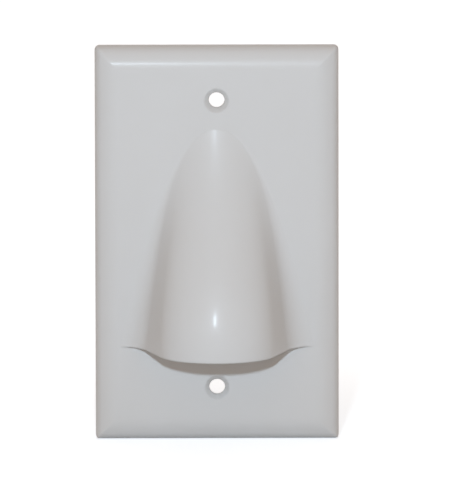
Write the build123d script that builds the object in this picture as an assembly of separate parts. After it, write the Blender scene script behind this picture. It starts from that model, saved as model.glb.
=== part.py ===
"""Bulk cable wall plate: one moulded plate with a cable hood that opens downwards.

X runs to the right, Y into the wall and Z up. The wall surface is Y = 0, and the origin
lies on it midway between the two screw holes. All sizes are in millimetres and degrees.
"""

import os
from math import atan, cos, degrees, radians, sin, sqrt, tan

from build123d import *

# Plate
PLATE_WIDTH = 69.85
PLATE_HEIGHT = 114.3
PLATE_DEPTH = 5.6
CORNER_RADIUS = 1.4
WALL = 2.0

# Bevel around the face: a shoulder off the side wall, a straight slope and a crest onto the face
BEVEL_WIDTH = 6.4
BEVEL_ANGLE = 30.0
SHOULDER_RADIUS = 3.4
CREST_RADIUS = 8.4

# Hood: its tip, its mouth that slopes down from the face, its size and the line of its crown
TIP_ABOVE_CENTRE = 33.5
MOUTH_BELOW_CENTRE = 29.8
MOUTH_SLOPE = 2.2
HOOD_FOOT_WIDTH = 56.6
HOOD_PROJECTION = 23.2
TIP_SLOPE = 15.0
LIP_SLOPE = -6.0
CROWN_DIP = 1.8

# Bell of the hood: how much steeper its sides are than a straight line from foot to crown, how
# flat its crown is, and the flare of its feet as a share of the half width
STEEPNESS_AT_TIP = 1.9
STEEPNESS_AT_MOUTH = 1.68
CROWN_FLATNESS = 0.75
FLARE_SHARE_AT_TIP = 0.16
FLARE_SHARE_AT_MOUTH = 0.31
RUNOUT_ANGLE = 5.0
RUNOUT_SINK = 0.12
HOLLOW_STOP_ANGLE = 20.0

# Slices of the loft, and how far the first one has grown in the outer form and in the hollow
HOOD_SLICES = 16
FIRST_GROWTH = 0.06
HOLLOW_FIRST_GROWTH = 0.35

# Screw holes for countersunk heads, with a low boss and ribs behind each
SCREW_SPACING = 83.34
SCREW_HOLE_DIAMETER = 4.5
COUNTERSINK_DIAMETER = 7.0
COUNTERSINK_ANGLE = 82.0
BOSS_DIAMETER = 9.0
BOSS_HEIGHT = 1.3
RIB_THICKNESS = 1.2
RIB_HEIGHT = 1.0

# Extra length that lets a cutting or joining solid pass right through its partner
OVERLAP = 1.0


def level_plane(height):
    """Level plane at this height, drawn with Y pointing out of the wall."""
    return Plane((0, 0, height), x_dir=(1, 0, 0), z_dir=(0, 0, -1))


def upright_plane():
    """Upright plane through the centre, drawn with X up and Y pointing out of the wall."""
    return Plane((0, 0, 0), x_dir=(0, 0, 1), z_dir=(1, 0, 0))


def edge_profile(half_span, inset, back):
    """Section of the plate from edge to edge, pulled in from the outer skin by the inset."""
    rise = 90 - BEVEL_ANGLE
    across = cos(radians(rise))
    out = sin(radians(rise))
    crest_x = half_span - BEVEL_WIDTH
    crest_y = PLATE_DEPTH - CREST_RADIUS
    shoulder_x = half_span - SHOULDER_RADIUS
    reach = (crest_x - shoulder_x) * across + crest_y * out + CREST_RADIUS - SHOULDER_RADIUS
    shoulder = CenterArc((shoulder_x, reach / out), SHOULDER_RADIUS - inset, 0, rise)
    crest = CenterArc((crest_x, crest_y), CREST_RADIUS - inset, rise, BEVEL_ANGLE)
    corner = (half_span - inset, back)
    right = Line(corner, shoulder @ 0) + shoulder + Line(shoulder @ 1, crest @ 0) + crest
    left = mirror(right, about=Plane.YZ)
    face = Line(crest @ 1, left.edges()[-1] @ 1)
    return make_face(right + face + left + Line(corner, (-corner[0], back)))


def plate_body(inset, back):
    """Bevelled block: what the section across the width and the section up the height share."""
    tall = level_plane(0) * edge_profile(PLATE_WIDTH / 2, inset, back)
    wide = upright_plane() * edge_profile(PLATE_HEIGHT / 2, inset, back)
    return extrude(tall, PLATE_HEIGHT / 2, both=True) & extrude(wide, PLATE_WIDTH / 2, both=True)


def plate_shell():
    """Hollow plate with rounded corners, open towards the wall."""
    outline = Plane.XZ * RectangleRounded(PLATE_WIDTH, PLATE_HEIGHT, CORNER_RADIUS)
    block = plate_body(0, 0) & extrude(outline, PLATE_DEPTH)
    return block - plate_body(WALL, -OVERLAP)


def crown_height(fall):
    """Height of the crown over the face, at this share of the way from tip to mouth."""
    length = TIP_ABOVE_CENTRE + MOUTH_BELOW_CENTRE
    rest = 1 - fall
    rise = HOOD_PROJECTION * fall**2 * (3 - 2 * fall)
    start = length * tan(radians(TIP_SLOPE)) * fall * rest**2
    end = length * tan(radians(LIP_SLOPE)) * fall**2 * rest
    return rise + start - end - 16 * CROWN_DIP * fall**2 * rest**2


def shift(start, end, share):
    """Value at this share of the way from start to end."""
    return start + (end - start) * share


def hood_slice(growth, inset):
    """Bell-shaped slice at this growth, 0 to 1: flattened crown, straight sides and flared feet.

    The foot line is a parabola, so the slice falls with the square of its growth. The crown is
    the ellipse that meets both sides smoothly. The outer form runs out along its flare until it
    dips into the face. The hollow is pulled in by the inset and goes straight back through the
    plate.
    """
    fall = growth**2
    half_width = growth * HOOD_FOOT_WIDTH / 2
    height = crown_height(fall)
    lean = atan(height / half_width) * shift(STEEPNESS_AT_TIP, STEEPNESS_AT_MOUTH, fall)
    flare = half_width * shift(FLARE_SHARE_AT_TIP, FLARE_SHARE_AT_MOUTH, fall)
    meeting = atan(CROWN_FLATNESS / tan(lean))
    across = half_width - flare * sin(lean)
    down = height - flare * (1 - cos(lean))
    reach = cos(meeting) * sin(lean) - CROWN_FLATNESS * (1 - sin(meeting)) * cos(lean)
    crown_width = (across * sin(lean) - down * cos(lean)) / reach
    crown_rise = crown_width * CROWN_FLATNESS

    centre = (0, PLATE_DEPTH + height - crown_rise)
    side = degrees(meeting)
    top = EllipticalCenterArc(centre, crown_width - inset, crown_rise - inset, side, arc_size=180 - 2 * side)
    turn = degrees(lean)
    foot_turn = min(HOLLOW_STOP_ANGLE if inset else RUNOUT_ANGLE, turn / 2)
    foot = CenterArc((half_width, PLATE_DEPTH + flare), flare + inset, 270 - foot_turn, foot_turn - turn)
    if inset:
        end = Vector((foot @ 0).X, -OVERLAP)
    else:
        drop = (foot @ 0).Y - PLATE_DEPTH + RUNOUT_SINK * growth
        end = foot @ 0 + Vector(drop / tan(radians(foot_turn)), -drop)
    right = Line(end, foot @ 0) + foot + Line(foot @ 1, top @ 0)
    left = mirror(right, about=Plane.YZ)
    bell = make_face(right + top + left + Line(end, (-end.X, end.Y)))
    return level_plane(shift(TIP_ABOVE_CENTRE, -MOUTH_BELOW_CENTRE, fall)) * bell


def hood_form(inset, first_growth):
    """Solid nose from near the tip down to the sloping mouth, pulled in from the outer skin by the inset."""
    slope = radians(MOUTH_SLOPE)
    mouth = Plane((0, -PLATE_DEPTH, -MOUTH_BELOW_CENTRE), x_dir=(1, 0, 0), z_dir=(0, -sin(slope), cos(slope)))
    below_mouth = HOOD_PROJECTION * tan(slope) + OVERLAP
    last_growth = sqrt(1 + below_mouth / (TIP_ABOVE_CENTRE + MOUTH_BELOW_CENTRE))
    step = (last_growth - first_growth) / (HOOD_SLICES - 1)
    nose = loft([hood_slice(first_growth + i * step, inset) for i in range(HOOD_SLICES)])
    return split(nose, mouth, Keep.TOP)


def screw_place(side):
    """A screw hole above (1) or below (-1) the centre, as a place on the wall that faces out of it."""
    return Plane.XZ * Pos(0, side * SCREW_SPACING / 2)


def stiffening(side):
    """Low boss behind a screw hole, with ribs out to both side walls and the near end wall."""
    root = Pos(0, 0, PLATE_DEPTH - WALL / 2)
    down = (Align.CENTER, Align.CENTER, Align.MAX)
    end_length = (PLATE_HEIGHT - SCREW_SPACING - WALL) / 2
    boss = Cylinder(BOSS_DIAMETER / 2, BOSS_HEIGHT + WALL / 2, align=down)
    cross_rib = Box(PLATE_WIDTH - WALL, RIB_THICKNESS, RIB_HEIGHT + WALL / 2, align=down)
    end_rib = Box(RIB_THICKNESS, end_length, RIB_HEIGHT + WALL / 2, align=down)
    ribs = cross_rib + Pos(0, side * end_length / 2) * end_rib
    return (screw_place(side) * root * (boss + ribs)) & plate_body(WALL / 2, 0)


def screw_hole(side):
    """Through hole with its countersink in the face, ready to be cut out."""
    head = COUNTERSINK_DIAMETER / 2
    hole = CounterSinkHole(SCREW_HOLE_DIAMETER / 2, head, PLATE_DEPTH, COUNTERSINK_ANGLE)
    return screw_place(side) * Pos(0, 0, PLATE_DEPTH) * hole


def main():
    wall_plate = plate_shell() + hood_form(0, FIRST_GROWTH) - hood_form(WALL, HOLLOW_FIRST_GROWTH)
    for side in (-1, 1):
        wall_plate = wall_plate + stiffening(side) - screw_hole(side)
    wall_plate.label = "wall_plate"
    os.makedirs("parts", exist_ok=True)
    export_step(wall_plate, "parts/wall_plate.step")


main()
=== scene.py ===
# %% [markdown]
# # Bulk cable wall plate
# This plate covers a hole in the wall, and loose cables leave the wall under its hood. It is one
# white plastic moulding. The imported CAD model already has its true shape, so this lesson loads
# that model and then works on what a mould and a studio add: the skin of the plastic, the light
# and the camera.

# %% Load the plate
import math

import bpy
import numpy as np
from mathutils import Matrix, Vector


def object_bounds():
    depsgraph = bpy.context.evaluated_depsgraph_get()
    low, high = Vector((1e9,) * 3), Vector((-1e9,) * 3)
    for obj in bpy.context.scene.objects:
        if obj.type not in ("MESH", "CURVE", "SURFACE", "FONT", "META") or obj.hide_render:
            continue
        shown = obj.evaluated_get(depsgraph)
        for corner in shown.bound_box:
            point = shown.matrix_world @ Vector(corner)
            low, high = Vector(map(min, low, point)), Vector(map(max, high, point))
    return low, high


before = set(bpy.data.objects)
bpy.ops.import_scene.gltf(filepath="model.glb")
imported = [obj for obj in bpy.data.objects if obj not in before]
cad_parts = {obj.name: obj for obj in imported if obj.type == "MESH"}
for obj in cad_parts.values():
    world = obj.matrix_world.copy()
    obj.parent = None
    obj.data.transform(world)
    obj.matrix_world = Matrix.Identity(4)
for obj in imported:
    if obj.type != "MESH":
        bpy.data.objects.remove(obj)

# Lengths are in metres, as in the frame, and MM turns millimetres into metres
MM = 0.001

scene = bpy.context.scene
cad_low, cad_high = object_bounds()
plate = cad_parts["wall_plate"]
print("plate size in mm:", [round(side / MM, 2) for side in cad_high - cad_low])

# %% [markdown]
# ## Camera
# The photograph looks at the plate from the front and a little above. Its edges stay almost
# parallel, so the camera stood far away with a long lens. A lens length could be guessed by eye,
# but one rule gives it directly: the picture's height on the sensor, divided by its height at
# the plate, is the lens length divided by the distance. The camera is aimed by building its
# right, up and back directions, because then the slight roll of the photograph is one rotation.

# %% Camera
PHOTO_HEIGHT_PX = 500
PIXELS_PER_MM = 3.486
CAMERA_DISTANCE = 4.0
CAMERA_REACH = 80.0
CAMERA_ELEVATION = math.radians(9.7)
CAMERA_ROLL = math.radians(-0.12)
AIM_RIGHT_PX = 11.6
AIM_UP_PX = -7.2
AIM_DEPTH = 2.8 * MM

camera_data = bpy.data.cameras.new("camera")
camera = bpy.data.objects.new("camera", camera_data)
scene.collection.objects.link(camera)
scene.camera = camera

# Blender fits the sensor's width to the longer side of the picture, which is its height
picture_height = PHOTO_HEIGHT_PX / PIXELS_PER_MM * MM
camera_data.lens = camera_data.sensor_width * CAMERA_DISTANCE / picture_height
camera_data.clip_end = CAMERA_REACH

back = Vector((0, -math.cos(CAMERA_ELEVATION), math.sin(CAMERA_ELEVATION)))
right = Matrix.Rotation(CAMERA_ROLL, 3, back) @ Vector((1, 0, 0))
up = back.cross(right)
aim = Vector((0, -AIM_DEPTH, 0)) + (right * AIM_RIGHT_PX + up * AIM_UP_PX) / PIXELS_PER_MM * MM
axes = Matrix((right, up, back)).transposed().to_4x4()
camera.matrix_world = Matrix.Translation(aim + back * CAMERA_DISTANCE) @ axes
print("lens in mm:", round(camera_data.lens, 1))

# %% [markdown]
# ## Helpers for shader nodes
# The materials are built in code, so that every value in them can be read. Four helpers keep that
# short. One places a node and fills its sockets. Two stand for the nodes that are needed most
# often: one turns a range of values into another range, and one mixes two colours. The last opens
# a node group with named sockets, which Blender 4.5 makes through the group's interface.

# %% Node helpers
# The Mix node has sockets for each kind of value, and these are the numbers of those for colours
MIX_SHARE = 0
MIX_FIRST = 6
MIX_SECOND = 7
MIX_RESULT = 2


def add_node(tree, kind, values=None, **settings):
    """Place a node, set its properties, then fill or link the sockets named in values."""
    node = tree.nodes.new(kind)
    for name, value in settings.items():
        setattr(node, name, value)
    for name, value in (values or {}).items():
        if isinstance(value, bpy.types.NodeSocket):
            tree.links.new(value, node.inputs[name])
        else:
            node.inputs[name].default_value = value
    return node


def map_range(tree, value, start, end, first=0.0, last=1.0, **settings):
    """Value that goes from first to last while the given one goes from start to end."""
    values = {"Value": value, "From Min": start, "From Max": end, "To Min": first, "To Max": last}
    return add_node(tree, "ShaderNodeMapRange", values, **settings).outputs["Result"]


def mix_colours(tree, share, first, second):
    """Colour that goes from first to second while the share goes from 0 to 1."""
    values = {MIX_SHARE: share, MIX_FIRST: first, MIX_SECOND: second}
    return add_node(tree, "ShaderNodeMix", values, data_type="RGBA").outputs[MIX_RESULT]


def new_group(name, inputs, outputs):
    """Open a shader node group whose sockets are given as name: socket type."""
    tree = bpy.data.node_groups.new(name, "ShaderNodeTree")
    for socket, kind in inputs.items():
        tree.interface.new_socket(socket, in_out="INPUT", socket_type=kind)
    for socket, kind in outputs.items():
        tree.interface.new_socket(socket, in_out="OUTPUT", socket_type=kind)
    return tree, tree.nodes.new("NodeGroupInput"), tree.nodes.new("NodeGroupOutput")


print("helpers: add_node, map_range, mix_colours, new_group")

# %% [markdown]
# ## The skin that the mould leaves
# A plate like this isn't polished. The steel of its mould was etched or blasted, and the plastic
# takes on that grain: specks a few tenths of a millimetre wide that soften every reflection.
# Slow flow marks lie over it, where the melt cooled unevenly. Both could be a picture, but noise
# worked out in the plate's own coordinates has no seam and stays sharp from near by. The group
# gives a height for the bump and a slow shade for colour and gloss.

# %% Moulded skin group
FINE_DETAIL = 2.0
COARSE_DETAIL = 1.0
COARSE_SCALE = 0.4
COARSE_SHARE = 0.4
FLOW_DETAIL = 3.0


def noise(tree, place, scale, detail):
    """Noise with this scale and detail at a place, as one value."""
    values = {"Vector": place, "Scale": scale, "Detail": detail}
    return add_node(tree, "ShaderNodeTexNoise", values).outputs["Fac"]


def moulded_skin_group():
    """Height is fine noise plus a share of a coarser one, and Flow is one slow noise."""
    number = "NodeSocketFloat"
    inputs = {"Vector": "NodeSocketVector", "Grain Scale": number, "Flow Scale": number}
    tree, given, result = new_group("moulded skin", inputs, {"Height": number, "Flow": number})
    place, grain, slow = [given.outputs[name] for name in inputs]
    coarse_scale = add_node(tree, "ShaderNodeMath", {0: grain, 1: COARSE_SCALE}, operation="MULTIPLY")
    fine = noise(tree, place, grain, FINE_DETAIL)
    coarse = noise(tree, place, coarse_scale.outputs[0], COARSE_DETAIL)
    height_values = {0: coarse, 1: COARSE_SHARE, 2: fine}
    height = add_node(tree, "ShaderNodeMath", height_values, operation="MULTIPLY_ADD")
    flow = noise(tree, place, slow, FLOW_DETAIL)
    tree.links.new(height.outputs[0], result.inputs["Height"])
    tree.links.new(flow, result.inputs["Flow"])
    return tree


moulded_skin = moulded_skin_group()
print("skin group:", [item.name for item in moulded_skin.interface.items_tree])

# %% [markdown]
# ## White plastic
# The plastic is a plain, nearly neutral white. Most of its gloss is broad and soft. A weak,
# sharper gloss over it draws the bright streak on the hood, and the shader's coat layer gives just
# that. The hood stands out and gets rubbed smooth, so the coat grows with the distance from the
# wall. The flow marks shift colour and roughness by a few hundredths, so that no large face is
# perfectly even, and the grain goes into the normal through a bump. Moulded edges are never
# knife-sharp. They could be bevelled in the mesh, but the Bevel node softens them in the normal
# alone, so the plate keeps its exact size.

# %% White plastic material
PLASTIC_COLOURS = (0.608, 0.608, 0.605), (0.630, 0.630, 0.629)
PLASTIC_ROUGHNESS = 0.34, 0.38
PLASTIC_REFLECTION = 0.1
COAT_ROUGHNESS = 0.14
COAT_WEIGHT_FACE = 0.023
COAT_WEIGHT_HOOD = 0.062
FACE_DEPTH = -6 * MM
HOOD_DEPTH = -20 * MM
GRAIN_SIZE = 0.35 * MM
GRAIN_DEPTH = 0.004 * MM
FLOW_SIZE = 22 * MM
EDGE_ROUNDING = 0.8 * MM
EDGE_SAMPLES = 8


def white_plastic():
    """Satin white plastic: flow marks in colour and gloss, a coat on the hood, edges and grain."""
    material = bpy.data.materials.new("white plastic")
    material.use_nodes = True
    tree = material.node_tree
    shader = tree.nodes["Principled BSDF"]
    shader.inputs["Specular IOR Level"].default_value = PLASTIC_REFLECTION
    shader.inputs["Coat Roughness"].default_value = COAT_ROUGHNESS
    place = add_node(tree, "ShaderNodeTexCoord").outputs["Object"]
    skin_values = {"Vector": place, "Grain Scale": 1 / GRAIN_SIZE, "Flow Scale": 1 / FLOW_SIZE}
    skin = add_node(tree, "ShaderNodeGroup", skin_values, node_tree=moulded_skin)
    flow = skin.outputs["Flow"]
    dark, light = [(*colour, 1) for colour in PLASTIC_COLOURS]
    colour = mix_colours(tree, flow, dark, light)
    roughness = map_range(tree, flow, 0, 1, *PLASTIC_ROUGHNESS)
    depth = add_node(tree, "ShaderNodeSeparateXYZ", {0: place}).outputs["Y"]
    coat = map_range(tree, depth, FACE_DEPTH, HOOD_DEPTH, COAT_WEIGHT_FACE, COAT_WEIGHT_HOOD)
    edges = add_node(tree, "ShaderNodeBevel", {"Radius": EDGE_ROUNDING}, samples=EDGE_SAMPLES)
    bump_values = {"Height": skin.outputs["Height"], "Distance": GRAIN_DEPTH}
    bump = add_node(tree, "ShaderNodeBump", bump_values | {"Normal": edges.outputs["Normal"]})
    tree.links.new(colour, shader.inputs["Base Color"])
    tree.links.new(roughness, shader.inputs["Roughness"])
    tree.links.new(coat, shader.inputs["Coat Weight"])
    tree.links.new(bump.outputs["Normal"], shader.inputs["Normal"])
    return material


plastic = white_plastic()
plate.data.materials.clear()
plate.data.materials.append(plastic)
print("plate faces:", len(plate.data.polygons), "in", plastic.name)

# %% [markdown]
# ## Floor
# The plate stands upright on a pale floor. The picture behind the plate is plain white, so the
# floor has to look white to the camera without throwing more light on the plate. Its paint is
# pale and catches the shadow, and only rays from the camera and from mirror-like surfaces see an
# added glow that lifts it to white. An even glow would wash the shadow out, so it is weaker
# around the plate. It is a little cool, because the room's light on the paint is warm.

# %% Floor
FLOOR_SIZE = 6.0
FLOOR_PAINT = (0.7, 0.7, 0.7, 1)
GLOW_COLOUR = (0.9, 0.95, 1.0, 1)
GLOW_NEAR = 0.65
GLOW_FAR = 0.78
GLOW_START = 60 * MM
GLOW_END = 170 * MM


def floor_mesh(size, level):
    """Square around the middle of the plate, at one level: two points across by two along."""
    side = np.array([-size / 2, size / 2])
    across, along = np.meshgrid(side, side)
    points = np.stack([across, along, np.full_like(across, level)], axis=-1).reshape(-1, 3)
    mesh = bpy.data.meshes.new("floor")
    mesh.from_pydata(points, [], [(0, 1, 3, 2)])
    return mesh


def seen_directly(tree):
    """1 for rays from the camera, a glossy surface or a clear one, and 0 for all other rays."""
    rays = add_node(tree, "ShaderNodeLightPath").outputs
    seen = rays["Is Camera Ray"]
    for kind in "Is Glossy Ray", "Is Transmission Ray":
        seen = add_node(tree, "ShaderNodeMath", {0: seen, 1: rays[kind]}, operation="MAXIMUM").outputs[0]
    return seen


def floor_paint():
    """Pale paint, plus a glow that grows away from the plate, for rays that see the floor directly."""
    material = bpy.data.materials.new("floor paint")
    material.use_nodes = True
    tree = material.node_tree
    tree.nodes.clear()
    paint = add_node(tree, "ShaderNodeBsdfDiffuse", {"Color": FLOOR_PAINT})
    place = add_node(tree, "ShaderNodeTexCoord").outputs["Object"]
    distance = add_node(tree, "ShaderNodeVectorMath", {0: place}, operation="LENGTH").outputs["Value"]
    glow_range = GLOW_START, GLOW_END, GLOW_NEAR, GLOW_FAR
    level = map_range(tree, distance, *glow_range, interpolation_type="SMOOTHSTEP")
    amount_values = {0: seen_directly(tree), 1: level}
    amount = add_node(tree, "ShaderNodeMath", amount_values, operation="MULTIPLY")
    glow_values = {"Color": GLOW_COLOUR, "Strength": amount.outputs[0]}
    glow = add_node(tree, "ShaderNodeEmission", glow_values)
    both = add_node(tree, "ShaderNodeAddShader", {0: paint.outputs[0], 1: glow.outputs[0]})
    add_node(tree, "ShaderNodeOutputMaterial", {"Surface": both.outputs[0]})
    return material


floor = bpy.data.objects.new("floor", floor_mesh(FLOOR_SIZE, cad_low.z))
floor.data.materials.append(floor_paint())
scene.collection.objects.link(floor)
print("floor level in mm:", round(cad_low.z / MM, 2))

# %% [markdown]
# ## Room light
# A warm room, brightest in front of the plate, lights the shade under the hood, which therefore
# turns brown. The room could be several large lamps, but a world whose colour follows the
# direction needs only three colours: one for the front, one for the sides and a neutral one that
# keeps the back of the plate white.

# %% Room light
ROOM_FRONT = (0.584, 0.444, 0.337, 1)
ROOM_SIDES = (0.380, 0.289, 0.220, 1)
ROOM_BACK = (1.0, 1.0, 1.0, 1)
BACK_START = 0.2
SEEN_WHITE = (1, 1, 1, 1)

world = bpy.data.worlds.new("room")
scene.world = world
world.use_nodes = True
tree = world.node_tree
tree.nodes.clear()
direction = add_node(tree, "ShaderNodeTexCoord").outputs["Generated"]
depth = add_node(tree, "ShaderNodeSeparateXYZ", {0: direction}).outputs["Y"]
room = ROOM_SIDES
for start, end, colour in (0, -1, ROOM_FRONT), (BACK_START, 1, ROOM_BACK):
    room = mix_colours(tree, map_range(tree, depth, start, end), room, colour)
seen = mix_colours(tree, seen_directly(tree), room, SEEN_WHITE)
background = add_node(tree, "ShaderNodeBackground", {"Color": seen})
add_node(tree, "ShaderNodeOutputWorld", {"Surface": background.outputs[0]})
print("room colours:", ROOM_FRONT[:3], ROOM_SIDES[:3], ROOM_BACK[:3])

# %% [markdown]
# ## Lamps
# Two small, cooler lamps stand in front of the plate, above the camera's line of sight. The lower
# one is round and draws the hard edge of the shadow under the hood. The other is tall and narrow.
# It makes the short bright streak on the hood and the bright line on the top bevel, which sit too
# high in the photograph for the lower lamp. One lamp could do both, but then either the shadow or
# the streak would be out of place. So each lamp is left out of one kind of light, and no surface
# is lit twice.

# %% Lamps
LAMP_DISTANCE = 0.7
LAMP_WIDTH = 30 * MM
LAMP_COLOUR = (0.72, 0.868, 1.0)


def add_lamp(name, elevation, azimuth, height, strength):
    """Small oval lamp that faces the plate from these angles, given in degrees.

    Its power grows with the square of its distance, so a lamp that is moved lights the plate as before.
    """
    data = bpy.data.lights.new(name, "AREA")
    data.shape = "ELLIPSE"
    data.size = LAMP_WIDTH
    data.size_y = height
    data.color = LAMP_COLOUR
    data.energy = strength * (math.pi * LAMP_DISTANCE) ** 2
    lamp = bpy.data.objects.new(name, data)
    scene.collection.objects.link(lamp)
    rise = math.radians(elevation)
    turn = math.radians(azimuth)
    level = math.cos(rise)
    towards = Vector((level * math.sin(turn), -level * math.cos(turn), math.sin(rise)))
    lamp.location = towards * LAMP_DISTANCE
    lamp.rotation_euler = towards.to_track_quat("Z", "Y").to_euler()
    print(name, "power in watts:", round(data.energy, 2))
    return lamp


shadow_lamp = add_lamp("shadow lamp", elevation=14.8, azimuth=-1.8, height=LAMP_WIDTH, strength=0.562)
shadow_lamp.visible_glossy = False
glint_lamp = add_lamp("glint lamp", elevation=21.0, azimuth=-2.9, height=120 * MM, strength=0.71)
glint_lamp.visible_diffuse = False

# %% [markdown]
# ## Finish
# The view transform is set to Standard, so colours reach the picture as they were mixed.

# %% Finish
scene.view_settings.view_transform = "Standard"
